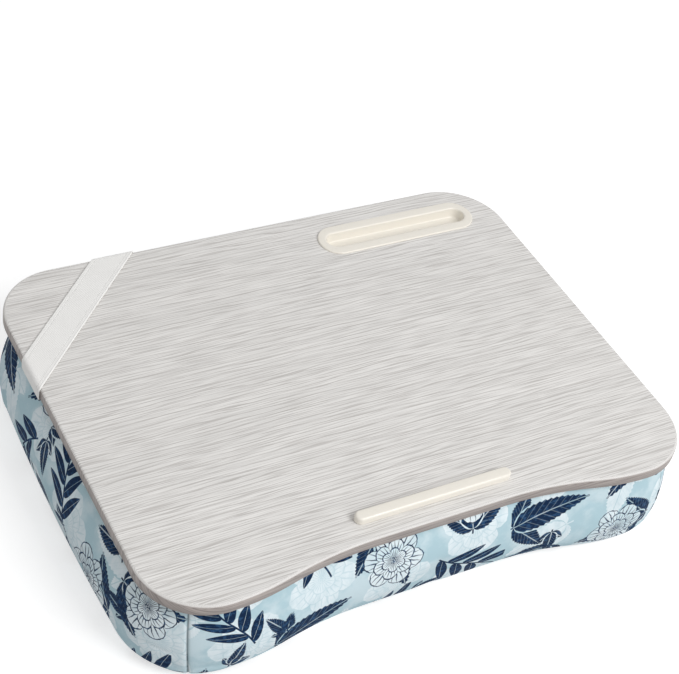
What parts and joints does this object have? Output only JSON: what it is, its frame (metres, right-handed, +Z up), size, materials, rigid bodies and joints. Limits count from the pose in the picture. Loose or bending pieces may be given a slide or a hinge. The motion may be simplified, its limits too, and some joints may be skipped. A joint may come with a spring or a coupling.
{
  "type": "lap tray",
  "caption": "Wood-effect lap tray on a bead-filled cushion, with a stop ledge, a phone slot and an elastic strap across a back corner.",
  "frame": {"origin": "on the floor under the middle of the tray's outline", "axes": "+X to the right of the person using the tray, +Y away from that person, +Z up"},
  "size_m": [0.474, 0.355, 0.088],
  "materials": {
    "fibreboard": "raw medium-density fibreboard",
    "woodgrain_foil": "satin foil printed with whitewashed wood grain",
    "ivory_plastic": "smooth moulded satin",
    "elastic_webbing": "fine ribbed elastic with a selvedge",
    "cover_fabric": "smooth printed polyester weave",
    "bag_cloth": "white non-woven",
    "felt": "stiff needled felt",
    "steel": "plain zinc-plated wire and screws"
  },
  "bodies": {
    "tray": {"board_core": "fibreboard", "woodgrain_foil": "woodgrain_foil", "device_ledge": "ivory_plastic", "ledge_screws": "steel", "phone_holder": "ivory_plastic", "strap_staples": "steel", "cushion_backing": "felt", "cushion_staples": "steel", "cover_front_panel": "cover_fabric", "cover_back_panel": "cover_fabric", "cover_right_panel": "cover_fabric", "cover_left_panel": "cover_fabric", "cover_right_base": "cover_fabric", "cover_left_base": "cover_fabric", "right_bead_bag": "bag_cloth", "left_bead_bag": "bag_cloth", "centre_baffle": "bag_cloth"},
    "strap": {"elastic_strap": "elastic_webbing"}
  },
  "joints": [
    {"name": "strap_lift", "type": "slide", "parent": "tray", "child": "strap", "axis": [0, 0, 1], "range_m": [0, 0.012], "stiffness_N_per_m": 150, "deforming": ["elastic_strap"]}
  ]
}
